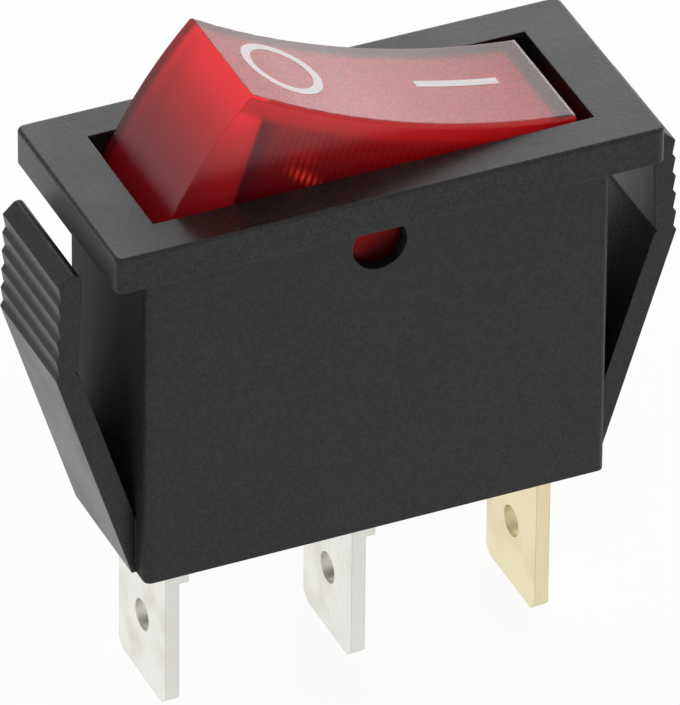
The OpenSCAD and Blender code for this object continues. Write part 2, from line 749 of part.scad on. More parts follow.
module plunger() {
    shoulder = -plunger_reach + 1.3;
    color([0.9, 0.88, 0.8]) at_rocker() difference() {
        union() {
            translate([0, 0, shoulder]) cylinder(r = plunger_r, h = plunger_top - shoulder);
            translate([0, 0, -plunger_reach])
                cylinder(r1 = tip_r, r2 = plunger_r, h = shoulder + plunger_reach);
            translate([0, 0, -plunger_reach]) sphere(r = tip_r);
        }
        translate([0, 0, plunger_bore_low])
            cylinder(r = plunger_bore_r, h = plunger_top - plunger_bore_low + over);
    }
}

module plunger_spring() {
    color([0.75, 0.75, 0.75]) at_rocker()
        coil(plunger_coil_r, spring_wire_r, plunger_bore_low + 0.02, seat_z - 0.02, 9);
}

housing();
load_terminal();
line_terminal();
neutral_terminal();
load_contact();
rocker_lens();
lamp_holder();
neon_bulb();
front_electrode();
rear_electrode();
resistor();
resistor_leads();
lead_sleeve();
lamp_spring();
plunger();
plunger_spring();
contact_bridge();
bridge_contact();
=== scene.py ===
import json
import math

import bpy
import numpy as np
from mathutils import Matrix, Vector


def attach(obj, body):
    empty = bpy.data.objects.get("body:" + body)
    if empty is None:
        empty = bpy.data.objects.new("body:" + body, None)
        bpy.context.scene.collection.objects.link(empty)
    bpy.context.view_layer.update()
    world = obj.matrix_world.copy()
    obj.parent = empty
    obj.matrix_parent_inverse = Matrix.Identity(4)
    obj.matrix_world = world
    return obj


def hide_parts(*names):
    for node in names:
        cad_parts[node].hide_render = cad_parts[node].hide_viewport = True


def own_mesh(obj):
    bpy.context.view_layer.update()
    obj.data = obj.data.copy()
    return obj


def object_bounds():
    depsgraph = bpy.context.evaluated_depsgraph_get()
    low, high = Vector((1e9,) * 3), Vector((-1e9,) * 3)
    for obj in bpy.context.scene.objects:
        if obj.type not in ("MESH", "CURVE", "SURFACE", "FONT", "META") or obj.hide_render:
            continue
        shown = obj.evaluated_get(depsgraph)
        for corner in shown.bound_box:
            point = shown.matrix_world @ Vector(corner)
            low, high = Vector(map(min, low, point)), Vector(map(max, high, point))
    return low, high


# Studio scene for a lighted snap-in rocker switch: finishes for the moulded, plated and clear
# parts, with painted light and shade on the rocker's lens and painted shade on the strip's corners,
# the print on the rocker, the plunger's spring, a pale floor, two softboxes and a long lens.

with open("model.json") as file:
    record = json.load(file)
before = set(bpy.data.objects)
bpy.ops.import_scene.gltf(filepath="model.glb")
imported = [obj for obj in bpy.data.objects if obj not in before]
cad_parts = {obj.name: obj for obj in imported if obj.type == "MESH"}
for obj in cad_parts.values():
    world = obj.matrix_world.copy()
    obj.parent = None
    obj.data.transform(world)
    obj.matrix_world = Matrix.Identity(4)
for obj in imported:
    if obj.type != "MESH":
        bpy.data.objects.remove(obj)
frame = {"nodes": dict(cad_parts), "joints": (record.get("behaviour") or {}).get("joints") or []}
cad_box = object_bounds()

MM = 0.001

# ---------------------------------------------------------------- driving values

# The rocker, in its own frame: pivot at the origin, X along the switch, Z up through its middle
PIVOT = Vector(next(j for j in frame["joints"] if j["name"] == "rocker_tilt")["pos_m"])
ROCKER_TILT = math.radians(18.5)
RIDGE_X = 9.744 * MM
RIDGE_H = 7.75 * MM
DISH = 1.1 * MM
DISH_R = (RIDGE_X**2 + DISH**2) / (2 * DISH)
TOP_T = 1.25 * MM
HOLLOW_X = RIDGE_X - 1.0 * MM
HOLLOW_Y = 3.15 * MM
ROCKER_HALF_W = 4.0 * MM
FLUTE_PITCH = 0.4 * MM
# Where a painted pool of the lamp's light lies in the flutes, how far it reaches, and its lean
POOL_PLACE = (-5.15 * MM, 3.1 * MM)
POOL_REACH = (0.9 * MM, 0.3 * MM)
POOL_LEAN = 0.3

# The body's end walls
END_WALL_X = 13.3 * MM
END_WALL_ROUGH = 0.68

# The plunger's spring, on the rocker's Z axis
COIL_R = 0.68 * MM
WIRE_R = 0.15 * MM
COIL_TURNS = 9

# Print on the rocker
PRINT_T = 0.02 * MM
RING_PLACE = (-5.85 * MM, 0.25 * MM)
RING_R = (2.04 * MM, 2.19 * MM)
RING_STROKE = 0.54 * MM
BAR_PLACE = (4.7 * MM, 0.2 * MM)
BAR_L = 4.85 * MM
BAR_W = 0.58 * MM

# The lens: how clear it is, how it reflects and scatters, and over what depth the painted light in
# it fades
LENS_CLEAR = 0.5
LENS_IOR = 1.55
LENS_SPECULAR = 0.23
LENS_ROUGH = (0.2, 0.26)
LIGHT_FADE_DEPTH = 3.7 * MM

# How strongly each place of the lens glows: a painted glow in place of the bulb's light scattered in
# the lens, with a painted pool of that light in the flutes
LENS_GLOW = 0.6
HOLLOW_SHARE = 0.13
BAND_SHARE = 0.18
BLOCK_SHARE = 0.8
POOL_SHARE = 0.65
GLOW_RED = (1.0, 0.02, 0.03, 1.0)
POOL_RED = (1.0, 0.06, 0.03, 1.0)

# Its colours, place by place, most of them painted light and shade that stand in for the light
# scattered in it and the shade around it
# Painted shade over the hollow, between the flutes, and painted light in each flute
HOLLOW_SHADE_RED = (0.55, 0.006, 0.008, 1.0)
FLUTE_LIGHT_RED = (0.8, 0.01, 0.012, 1.0)
# Painted shade in the hollow next to the OFF end's block
HOLLOW_END_SHADE_RED = (0.25, 0.008, 0.014, 1.0)
# Painted light scattered in the thick top and the OFF end's block: a brighter red there
SOLID_LIT_RED = (0.95, 0.02, 0.025, 1.0)
# Painted shade on the inside of the far side wall
UNLIT_RED = (0.05, 0.006, 0.01, 1.0)
# Painted light on the top, a little darker towards the ON end
TOP_LIGHT_TINT = (0.74, 0.075, 0.075, 1.0)
TOP_END_LIGHT_TINT = (0.7, 0.055, 0.065, 1.0)
# Painted shade on the top over the far side wall and over the ON end's block
BORDER_SHADE_TINT = (0.12, 0.035, 0.04, 1.0)
# Painted highlight along the ON ridge
RIM_HIGHLIGHT_TINT = (0.7, 0.66, 0.66, 1.0)
TOP_SPECKLE = 0.35
# Painted shade on the trunnions, darkest across their ends
PIN_IN_SHADE_RED = (0.14, 0.007, 0.006, 1.0)
PIN_SHADE = (0.006, 0.002, 0.002, 1.0)
BLACK = (0.0, 0.0, 0.0, 1.0)

# The lamp
GLASS_IOR = 1.5
GLOW_L = 3.6 * MM
GLOW_FADE = 0.4 * MM
ELECTRODE_GLOW = 2.0
ELECTRODE_ORANGE = (1.0, 0.22, 0.05, 1.0)

# Stamped strip: the darker tone of its sheared sides, the painted shade on its corners, and how much
# duller the sides are
SHEARED_SHADE = 0.9
CORNER_SHADE = 0.62
SHEARED_DULLER = 0.15

# The resistor's bands: centre along its length and paint, and their half width
BANDS = ((0.14, (0.32, 0.12, 0.04, 1.0)), (0.36, (0.02, 0.02, 0.02, 1.0)),
         (0.52, (0.75, 0.5, 0.03, 1.0)), (0.84, (0.6, 0.42, 0.12, 1.0)))
BAND_HALF = 0.045

# The floor and the light
FLOOR_DROP = 0.02 * MM
FLOOR_HALF = 3.0
FLOOR_WHITE = 1.03
CAMERA_GLOW = 0.9
REFLECTED_GLOW = 0.9
WORLD_LIGHT = 0.55

LOW, HIGH = (Vector(corner) for corner in cad_box)

# ---------------------------------------------------------------- node helpers


def new_material(name):
    """An empty node material with a Principled shader, and its tree."""
    mat = bpy.data.materials.new(name)
    mat.use_nodes = True
    tree = mat.node_tree
    tree.nodes.clear()
    shader = tree.nodes.new("ShaderNodeBsdfPrincipled")
    out = tree.nodes.new("ShaderNodeOutputMaterial")
    tree.links.new(shader.outputs["BSDF"], out.inputs["Surface"])
    return mat, tree, shader


def new_group(name, inputs, outputs):
    """A shader node group with named sockets: inputs is {name: (type, default)} and outputs is
    {name: type}."""
    group = bpy.data.node_groups.new(name, "ShaderNodeTree")
    for socket, (kind, default) in inputs.items():
        item = group.interface.new_socket(socket, in_out="INPUT", socket_type=kind)
        if default is not None:
            item.default_value = default
    for socket, kind in outputs.items():
        group.interface.new_socket(socket, in_out="OUTPUT", socket_type=kind)
    return group, group.nodes.new("NodeGroupInput"), group.nodes.new("NodeGroupOutput")


def use_group(tree, group, **values):
    """One use of a node group, with values for its inputs (underscores stand for spaces)."""
    node = tree.nodes.new("ShaderNodeGroup")
    node.node_tree = group
    for name, value in values.items():
        node.inputs[name.replace("_", " ")].default_value = value
    return node


def math_node(tree, operation, a, b=None):
    """A Math node; a and b are sockets or numbers."""
    node = tree.nodes.new("ShaderNodeMath")
    node.operation = operation
    for i, value in enumerate((a, b)):
        if value is None:
            continue
        if isinstance(value, (int, float)):
            node.inputs[i].default_value = value
        else:
            tree.links.new(value, node.inputs[i])
    return node.outputs[0]


def times(tree, *factors):
    """The product of two or more sockets or numbers."""
    product = factors[0]
    for factor in factors[1:]:
        product = math_node(tree, "MULTIPLY", product, factor)
    return product


def larger(tree, a, b):
    return math_node(tree, "MAXIMUM", a, b)


def given_value(tree, number):
    """A socket that holds a number."""
    node = tree.nodes.new("ShaderNodeValue")
    node.outputs[0].default_value = number
    return node.outputs[0]


def map_range(tree, value, lo, hi, to_lo=0.0, to_hi=1.0, smooth=True):
    """Takes lo to to_lo and hi to to_hi, held beyond them, on a smooth step or a straight line."""
    node = tree.nodes.new("ShaderNodeMapRange")
    node.interpolation_type = "SMOOTHSTEP" if smooth else "LINEAR"
    tree.links.new(value, node.inputs["Value"])
    ends = {"From Min": lo, "From Max": hi, "To Min": to_lo, "To Max": to_hi}
    for name, number in ends.items():
        node.inputs[name].default_value = number
    return node.outputs["Result"]


def mix_colour(tree, factor, a, b):
    """Colour a where factor is 0 and b where it is 1; a and b are colours or sockets."""
    node = tree.nodes.new("ShaderNodeMix")
    node.data_type = "RGBA"
    tree.links.new(factor, node.inputs["Factor"])
    for socket, value in ((node.inputs[6], a), (node.inputs[7], b)):
        if isinstance(value, tuple):
            socket.default_value = value
        else:
            tree.links.new(value, socket)
    return node.outputs[2]


def mix_value(tree, factor, a, b):
    """Value a where factor is 0 and b where it is 1, both sockets."""
    node = tree.nodes.new("ShaderNodeMix")
    for key, value in (("Factor", factor), (2, a), (3, b)):
        tree.links.new(value, node.inputs[key])
    return node.outputs[0]


def scaled(tree, colour, factor):
    """A colour socket times a value socket."""
    node = tree.nodes.new("ShaderNodeVectorMath")
    node.operation = "SCALE"
    tree.links.new(colour, node.inputs[0])
    tree.links.new(factor, node.inputs["Scale"])
    return node.outputs[0]


def shaded(colour, share):
    """A colour made darker or lighter, its alpha kept at 1."""
    return tuple(share * c for c in colour[:3]) + (1.0,)


def parts_of(tree, vector):
    """The X, Y and Z sockets of a vector."""
    node = tree.nodes.new("ShaderNodeSeparateXYZ")
    tree.links.new(vector, node.inputs["Vector"])
    return node.outputs


def true_normal(tree):
    return tree.nodes.new("ShaderNodeNewGeometry").outputs["True Normal"]


def object_coords(tree):
    return tree.nodes.new("ShaderNodeTexCoord").outputs["Object"]


def noise(tree, vector, scale, detail=3.0, rough=0.5):
    node = tree.nodes.new("ShaderNodeTexNoise")
    node.inputs["Scale"].default_value = scale
    node.inputs["Detail"].default_value = detail
    node.inputs["Roughness"].default_value = rough
    tree.links.new(vector, node.inputs["Vector"])
    return node.outputs["Fac"]


def bump(tree, height, distance, strength=1.0, normal=None):
    node = tree.nodes.new("ShaderNodeBump")
    node.inputs["Distance"].default_value = distance
    node.inputs["Strength"].default_value = strength
    tree.links.new(height, node.inputs["Height"])
    if normal is not None:
        tree.links.new(normal, node.inputs["Normal"])
    return node.outputs["Normal"]


def soft_edges(tree, radius):
    """Normals rounded over sharp edges, within radius."""
    node = tree.nodes.new("ShaderNodeBevel")
    node.samples = 6
    node.inputs["Radius"].default_value = radius
    return node.outputs["Normal"]


def stretched(tree, vector, scale):
    """Coordinates stretched by scale on each axis."""
    node = tree.nodes.new("ShaderNodeMapping")
    node.inputs["Scale"].default_value = scale
    tree.links.new(vector, node.inputs["Vector"])
    return node.outputs["Vector"]


def rocker_coords(tree):
    """Object coordinates turned and shifted into the rocker's own frame."""
    node = tree.nodes.new("ShaderNodeMapping")
    node.vector_type = "TEXTURE"
    node.inputs["Location"].default_value = PIVOT
    node.inputs["Rotation"].default_value = (0.0, ROCKER_TILT, 0.0)
    tree.links.new(object_coords(tree), node.inputs["Vector"])
    return node.outputs["Vector"]


# ---------------------------------------------------------------- shared effects


def make_grain_group():
    """Fine spark-eroded grain: two sizes of noise summed into a height, and a slow drift."""
    group, given, out = new_group(
        "moulded_grain",
        {"Size": ("NodeSocketFloat", 0.1 * MM)},
        {"Height": "NodeSocketFloat", "Drift": "NodeSocketFloat"},
    )
    coords = object_coords(group)
    per_metre = math_node(group, "DIVIDE", 1.0, given.outputs["Size"])
    fine = group.nodes.new("ShaderNodeTexNoise")
    fine.inputs["Detail"].default_value = 2.0
    group.links.new(coords, fine.inputs["Vector"])
    group.links.new(per_metre, fine.inputs["Scale"])
    coarse = group.nodes.new("ShaderNodeTexNoise")
    coarse.inputs["Detail"].default_value = 3.0
    group.links.new(coords, coarse.inputs["Vector"])
    group.links.new(math_node(group, "MULTIPLY", per_metre, 0.3), coarse.inputs["Scale"])
    half = math_node(group, "MULTIPLY", coarse.outputs["Fac"], 0.5)
    group.links.new(math_node(group, "ADD", fine.outputs["Fac"], half), out.inputs["Height"])
    drift = group.nodes.new("ShaderNodeTexNoise")
    drift.inputs["Scale"].default_value = 160.0
    group.links.new(coords, drift.inputs["Vector"])
    group.links.new(drift.outputs["Fac"], out.inputs["Drift"])
    return group


def make_roll_group():
    """Marks of rolled strip: fine lines along Z, broken up, with faint stains."""
    group, given, out = new_group(
        "rolled_strip",
        {"Line Pitch": ("NodeSocketFloat", 0.08 * MM)},
        {"Lines": "NodeSocketFloat", "Stain": "NodeSocketFloat"},
    )
    coords = object_coords(group)
    per_metre = math_node(group, "DIVIDE", 1.0, given.outputs["Line Pitch"])
    lines = group.nodes.new("ShaderNodeTexNoise")
    lines.inputs["Detail"].default_value = 3.0
    group.links.new(stretched(group, coords, (1.0, 1.0, 0.06)), lines.inputs["Vector"])
    group.links.new(per_metre, lines.inputs["Scale"])
    group.links.new(lines.outputs["Fac"], out.inputs["Lines"])
    stain = group.nodes.new("ShaderNodeTexNoise")
    stain.inputs["Scale"].default_value = 420.0
    stain.inputs["Detail"].default_value = 4.0
    group.links.new(coords, stain.inputs["Vector"])
    group.links.new(stain.outputs["Fac"], out.inputs["Stain"])
    return group


ZONE_NAMES = ("Depth", "Top", "Block", "Band", "Solid", "Lit", "Top Lit", "Deep", "Flutes", "Pool",
              "Towards On", "Rim", "Pin", "Pin Shade")


def make_zones_group():
    """Places on the rocker, in its own frame, where the lens's painted light and shade go.

    Depth: distance below the dished top, in metres. The rest are masks from 0 to 1:
    Top: the dished face. Block: the OFF end's block. Band: the flanks beside the thick top.
    Solid: that block and the thick top, 0 over the hollow.
    Lit: where painted light falls: all but the inside of the far side wall, at 0, which takes
    painted shade, and the block's far edge, at 0.25. Top Lit: painted light on the top, 0 on the top
    over the far side wall and over the ON end's block, which take painted shade. Deep: the hollow
    away from the OFF end's block, beside which a painted dark band lies. Flutes: across each flute,
    for painted light in them. Pool: a painted pool of the lamp's light, where it shines into the
    flutes. Towards On: the last of the lit top. Rim: along the ON ridge, for a painted highlight.
    Pin: the trunnions. Pin Shade: painted shade across their ends."""
    group, _, out = new_group("rocker_zones", {}, {name: "NodeSocketFloat" for name in ZONE_NAMES})
    x, y, z = parts_of(group, rocker_coords(group))
    x_squared = times(group, x, x)
    chord = math_node(group, "SQRT", math_node(group, "SUBTRACT", DISH_R**2, x_squared))
    top = math_node(group, "SUBTRACT", RIDGE_H - DISH + DISH_R, chord)
    depth = math_node(group, "SUBTRACT", top, z)
    out_y = math_node(group, "ABSOLUTE", y)
    off_block = map_range(group, x, -HOLLOW_X - 0.15 * MM, -HOLLOW_X + 0.15 * MM, 1.0, 0.0)
    band = map_range(group, depth, TOP_T - 0.35 * MM, TOP_T + 0.15 * MM, 1.0, 0.0)
    near = map_range(group, y, HOLLOW_Y - 0.75 * MM, HOLLOW_Y + 0.15 * MM, 1.0, 0.0)
    flank = map_range(group, out_y, ROCKER_HALF_W - 0.04 * MM, ROCKER_HALF_W - 0.01 * MM)
    far_edge = map_range(group, y, HOLLOW_Y - 0.1 * MM, HOLLOW_Y + 0.45 * MM, 1.0, 0.25)
    before_on = map_range(group, x, HOLLOW_X - 0.35 * MM, HOLLOW_X + 0.25 * MM, 1.0, 0.0)
    waves = math_node(group, "COSINE", times(group, x, 2 * math.pi / FLUTE_PITCH))
    leaning = math_node(group, "ADD", z, times(group, x, POOL_LEAN))
    pool_z = POOL_PLACE[1] + POOL_LEAN * POOL_PLACE[0]
    pool_axes = ((x, POOL_PLACE[0], POOL_REACH[0]), (leaning, pool_z, POOL_REACH[1]))
    results = {
        "Depth": depth,
        "Top": map_range(group, depth, 0.02 * MM, 0.05 * MM, 1.0, 0.0),
        "Block": off_block,
        "Band": times(group, band, flank),
        "Solid": larger(group, off_block, times(group, band, before_on)),
        "Lit": larger(group, near, larger(group, flank, times(group, off_block, far_edge))),
        "Top Lit": times(group, near, before_on),
        "Deep": map_range(group, x, -HOLLOW_X + 0.2 * MM, -HOLLOW_X + 1.5 * MM),
        "Flutes": math_node(group, "ADD", times(group, waves, 0.5), 0.5),
        "Pool": soft_spot(group, pool_axes),
        "Towards On": map_range(group, x, HOLLOW_X - 2.0 * MM, HOLLOW_X),
        "Rim": map_range(group, x, RIDGE_X - 0.2 * MM, RIDGE_X - 0.08 * MM),
        "Pin": map_range(group, out_y, ROCKER_HALF_W + 0.05 * MM, ROCKER_HALF_W + 0.1 * MM),
        "Pin Shade": map_range(group, math_node(group, "SUBTRACT", z, x), -1.4 * MM, 1.2 * MM),
    }
    for name, result in results.items():
        group.links.new(result, out.inputs[name])
    return group


def soft_spot(tree, axes):
    """exp(-d), where d sums the squares of (place - centre) / reach over the axes."""
    away = None
    for place, centre, reach in axes:
        off = math_node(tree, "DIVIDE", math_node(tree, "SUBTRACT", place, centre), reach)
        square = times(tree, off, off)
        away = square if away is None else math_node(tree, "ADD", away, square)
    return math_node(tree, "EXPONENT", times(tree, away, -1.0))


GRAIN = make_grain_group()
ROLL = make_roll_group()
ZONES = make_zones_group()

# ---------------------------------------------------------------- materials


def moulded_plastic(name, colour, rough, grain_size, grain_depth, edge,
                    specular=0.5, speckle=0.1):
    """Opaque moulding: fine grain in the bump and the shade, a little drift in gloss, soft edges."""
    mat, tree, shader = new_material(name)
    grain = use_group(tree, GRAIN, Size=grain_size).outputs
    height = map_range(tree, grain["Height"], 0.55, 0.95)
    tint = mix_colour(tree, height, shaded(colour, 1.0 - speckle), shaded(colour, 1.0 + speckle))
    tree.links.new(tint, shader.inputs["Base Color"])
    gloss = map_range(tree, grain["Drift"], 0.3, 0.7, rough - 0.04, rough + 0.04)
    tree.links.new(gloss, shader.inputs["Roughness"])
    shader.inputs["Specular IOR Level"].default_value = specular
    normal = bump(tree, grain["Height"], grain_depth, 1.0, soft_edges(tree, edge))
    tree.links.new(normal, shader.inputs["Normal"])
    return mat


def dull_ends(mat, rough):
    """Makes the body's end walls, which face the latch wings, duller than the rest."""
    tree = mat.node_tree
    shader = next(n for n in tree.nodes if n.type == "BSDF_PRINCIPLED")
    glossy = shader.inputs["Roughness"].links[0].from_socket
    x, _, z = parts_of(tree, object_coords(tree))
    facing = parts_of(tree, true_normal(tree))["X"]
    mask = times(
        tree,
        map_range(tree, math_node(tree, "ABSOLUTE", x),
                  END_WALL_X + 0.05 * MM, END_WALL_X + 0.15 * MM, 1.0, 0.0),
        map_range(tree, z, -0.1 * MM, 0.0, 1.0, 0.0),
        map_range(tree, math_node(tree, "ABSOLUTE", facing), 0.5, 0.9),
    )
    dull = mix_value(tree, mask, glossy, given_value(tree, rough))
    tree.links.new(dull, shader.inputs["Roughness"])
    return mat


def sheet_metal(name, colour, rough, stain_colour, stain_share, edge=0.08 * MM):
    """Rolled and stamped strip: lines of the roll, faint stains, duller sheared edges, and a thin
    outline of painted shade where the sides turn."""
    mat, tree, shader = new_material(name)
    roll = use_group(tree, ROLL, Line_Pitch=0.09 * MM).outputs
    stain = map_range(tree, roll["Stain"], 0.45, 0.75, 0.0, stain_share)
    rounded = soft_edges(tree, edge)
    corner, sheared = strip_edges(tree, rounded)
    tint = mix_colour(tree, stain, colour, stain_colour)
    tint = mix_colour(tree, sheared, tint, shaded(colour, SHEARED_SHADE))
    # Painted shade on the corners, where the sides turn
    tint = mix_colour(tree, corner, tint, shaded(colour, CORNER_SHADE))
    tree.links.new(tint, shader.inputs["Base Color"])
    sheen = map_range(tree, roll["Lines"], 0.3, 0.7, rough - 0.06, rough + 0.06)
    duller = math_node(tree, "ADD", sheen, times(tree, sheared, SHEARED_DULLER))
    tree.links.new(duller, shader.inputs["Roughness"])
    shader.inputs["Metallic"].default_value = 1.0
    tree.links.new(bump(tree, roll["Lines"], 0.002 * MM, 1.0, rounded), shader.inputs["Normal"])
    return mat


def strip_edges(tree, rounded):
    """Masks for stamped strip: its corners, where the rounded normal leaves the true one and painted
    shade goes, and its sheared sides, which face along Y or Z."""
    true = true_normal(tree)
    dot = tree.nodes.new("ShaderNodeVectorMath")
    dot.operation = "DOT_PRODUCT"
    tree.links.new(true, dot.inputs[0])
    tree.links.new(rounded, dot.inputs[1])
    corner = map_range(tree, dot.outputs["Value"], 0.8, 0.99, 1.0, 0.0)
    facing = math_node(tree, "ABSOLUTE", parts_of(tree, true)["X"])
    return corner, map_range(tree, facing, 0.3, 0.8, 1.0, 0.0)


def drawn_wire(name, colour, rough):
    """Round wire with die marks that break up its gloss."""
    mat, tree, shader = new_material(name)
    marks = noise(tree, object_coords(tree), 9000.0)
    tint = mix_colour(tree, marks, shaded(colour, 0.8), colour)
    tree.links.new(tint, shader.inputs["Base Color"])
    gloss = map_range(tree, marks, 0.3, 0.7, rough - 0.05, rough + 0.08)
    tree.links.new(gloss, shader.inputs["Roughness"])
    shader.inputs["Metallic"].default_value = 1.0
    tree.links.new(bump(tree, marks, 0.003 * MM), shader.inputs["Normal"])
    return mat


def clear_red():
    """Red see-through polycarbonate with a haze: it refracts, and the light scattered in it is
    painted
    on, in its colour and as a glow: pale on the dished top over the hollow, and red in the thick top
    and the OFF end's block, fading with depth. Painted shade darkens the hollow, the inside of the
    far side wall, the top over that wall and over the ON end's block, and the trunnions. Painted
    light lies in the flutes, with a painted pool of the lamp's light in them, and a painted
    highlight runs along the ON ridge. Its places are lit by rule, and not by the bulb."""
    mat, tree, shader = new_material("clear_red")
    grain = use_group(tree, GRAIN, Size=0.09 * MM).outputs
    zone = use_group(tree, ZONES).outputs
    shader.inputs["Transmission Weight"].default_value = LENS_CLEAR
    shader.inputs["IOR"].default_value = LENS_IOR
    shader.inputs["Specular IOR Level"].default_value = LENS_SPECULAR
    fading = math_node(tree, "EXPONENT", times(tree, zone["Depth"], -1.0 / LIGHT_FADE_DEPTH))

    # Painted light in each flute and painted shade between them, with a painted dark band near the
    # OFF end's block
    ribbed = mix_colour(tree, zone["Flutes"], HOLLOW_SHADE_RED, FLUTE_LIGHT_RED)
    hollow = mix_colour(tree, zone["Deep"], HOLLOW_END_SHADE_RED, ribbed)
    # Painted light scattered in the thick top and the OFF end's block
    side = mix_colour(tree, zone["Solid"], hollow, SOLID_LIT_RED)
    # Painted shade on the inside of the far side wall, and the painted light fading with depth
    side = mix_colour(tree, times(tree, zone["Lit"], fading), UNLIT_RED, side)
    # On the top: painted shade over the far side wall and the ON end's block, with a painted
    # highlight along the ON ridge, and painted light elsewhere, a little darker towards the ON end
    border = mix_colour(tree, zone["Rim"], BORDER_SHADE_TINT, RIM_HIGHLIGHT_TINT)
    top = mix_colour(tree, zone["Towards On"], TOP_LIGHT_TINT, TOP_END_LIGHT_TINT)
    top = mix_colour(tree, zone["Top Lit"], border, top)
    speck = map_range(tree, grain["Height"], 0.5, 1.0, 1.0 - TOP_SPECKLE, 1.0 + TOP_SPECKLE)
    base = mix_colour(tree, zone["Top"], side, scaled(tree, top, speck))
    # Painted shade on the trunnions, darkest across their ends; they are made metallic so that their
    # reflection takes the dark red too
    pin = mix_colour(tree, zone["Pin Shade"], PIN_SHADE, PIN_IN_SHADE_RED)
    tree.links.new(mix_colour(tree, zone["Pin"], base, pin), shader.inputs["Base Color"])
    tree.links.new(zone["Pin"], shader.inputs["Metallic"])
    gloss = map_range(tree, grain["Drift"], 0.3, 0.7, *LENS_ROUGH)
    tree.links.new(gloss, shader.inputs["Roughness"])

    # Painted glow in place of the bulb's light scattered in the lens: strongest in the OFF end's
    # block, less in the flanks beside the thick top, least over the hollow, fading with depth, none
    # on the top
    share = map_range(tree, zone["Block"], 0.0, 1.0, HOLLOW_SHARE, BLOCK_SHARE, smooth=False)
    share = mix_value(tree, zone["Band"], share, given_value(tree, BAND_SHARE))
    glow = mix_colour(tree, times(tree, share, zone["Lit"], fading), BLACK, GLOW_RED)
    # A painted pool of the lamp's light, across the flutes
    pool = times(tree, zone["Pool"], zone["Flutes"], POOL_SHARE)
    glow = mix_colour(tree, pool, glow, POOL_RED)
    glow = mix_colour(tree, zone["Top"], glow, BLACK)
    tree.links.new(glow, shader.inputs["Emission Color"])
    shader.inputs["Emission Strength"].default_value = LENS_GLOW
    normal = bump(tree, grain["Height"], 0.008 * MM, 1.0, soft_edges(tree, 0.12 * MM))
    tree.links.new(normal, shader.inputs["Normal"])
    return mat


def lamp_glass():
    """Thin clear glass with faint streaks."""
    mat, tree, shader = new_material("lamp_glass")
    streaks = noise(tree, stretched(tree, object_coords(tree), (0.2, 1.0, 1.0)), 2500.0)
    shader.inputs["Transmission Weight"].default_value = 1.0
    shader.inputs["IOR"].default_value = GLASS_IOR
    tint = mix_colour(tree, streaks, (0.98, 0.95, 0.93, 1.0), (1.0, 0.99, 0.98, 1.0))
    tree.links.new(tint, shader.inputs["Base Color"])
    tree.links.new(map_range(tree, streaks, 0.3, 0.7, 0.01, 0.04), shader.inputs["Roughness"])
    return mat


def glowing_electrode(glow_end):
    """Bulb wire: orange glow along the part inside the gas, bare metal outside it."""
    mat, tree, shader = new_material("electrode")
    along = parts_of(tree, rocker_coords(tree))["X"]
    marks = noise(tree, object_coords(tree), 7000.0)
    tint = mix_colour(tree, marks, (0.5, 0.47, 0.44, 1.0), (0.62, 0.58, 0.54, 1.0))
    tree.links.new(tint, shader.inputs["Base Color"])
    tree.links.new(map_range(tree, marks, 0.3, 0.7, 0.25, 0.4), shader.inputs["Roughness"])
    shader.inputs["Metallic"].default_value = 1.0
    glow = map_range(tree, along, glow_end - GLOW_FADE, glow_end, 1.0, 0.0)
    tree.links.new(mix_colour(tree, glow, BLACK, ELECTRODE_ORANGE), shader.inputs["Emission Color"])
    shader.inputs["Emission Strength"].default_value = ELECTRODE_GLOW
    return mat


def banded_resistor(length_lo, length_hi):
    """Lacquered body with painted bands round it, spaced along its length."""
    mat, tree, shader = new_material("resistor_lacquer")
    along = parts_of(tree, rocker_coords(tree))["X"]
    place = map_range(tree, along, length_lo, length_hi, smooth=False)
    tint = (0.55, 0.38, 0.2, 1.0)
    for centre, paint in BANDS:
        off = math_node(tree, "ABSOLUTE", math_node(tree, "SUBTRACT", place, centre))
        mask = map_range(tree, off, BAND_HALF, BAND_HALF * 1.2, 1.0, 0.0)
        tint = mix_colour(tree, mask, tint, paint)
    tree.links.new(tint, shader.inputs["Base Color"])
    mottle = noise(tree, object_coords(tree), 3000.0)
    tree.links.new(map_range(tree, mottle, 0.3, 0.7, 0.22, 0.34), shader.inputs["Roughness"])
    tree.links.new(bump(tree, mottle, 0.004 * MM), shader.inputs["Normal"])
    return mat


def white_print():
    """Pad-printed ink: matt white with faint pinholes."""
    mat, tree, shader = new_material("white_print")
    spots = noise(tree, object_coords(tree), 9000.0, 4.0, 0.7)
    cover = map_range(tree, spots, 0.34, 0.44)
    tint = mix_colour(tree, cover, (0.8, 0.5, 0.52, 1.0), (0.97, 0.9, 0.92, 1.0))
    tree.links.new(tint, shader.inputs["Base Color"])
    tree.links.new(map_range(tree, spots, 0.3, 0.7, 0.45, 0.6), shader.inputs["Roughness"])
    tree.links.new(bump(tree, spots, 0.002 * MM), shader.inputs["Normal"])
    return mat


def in_rocker(node):
    """Lowest and highest corner of a node's vertices in the rocker's frame."""
    mesh = frame["nodes"][node].data
    co = np.empty(len(mesh.vertices) * 3)
    mesh.vertices.foreach_get("co", co)
    back = np.array(Matrix.Rotation(-ROCKER_TILT, 3, "Y"))
    turned = (co.reshape(-1, 3) - np.array(PIVOT)) @ back.T
    return turned.min(axis=0), turned.max(axis=0)


BULB_LOW_X = in_rocker("neon_bulb")[0][0]
RESISTOR_LO, RESISTOR_HI = (float(corner[0]) for corner in in_rocker("resistor"))

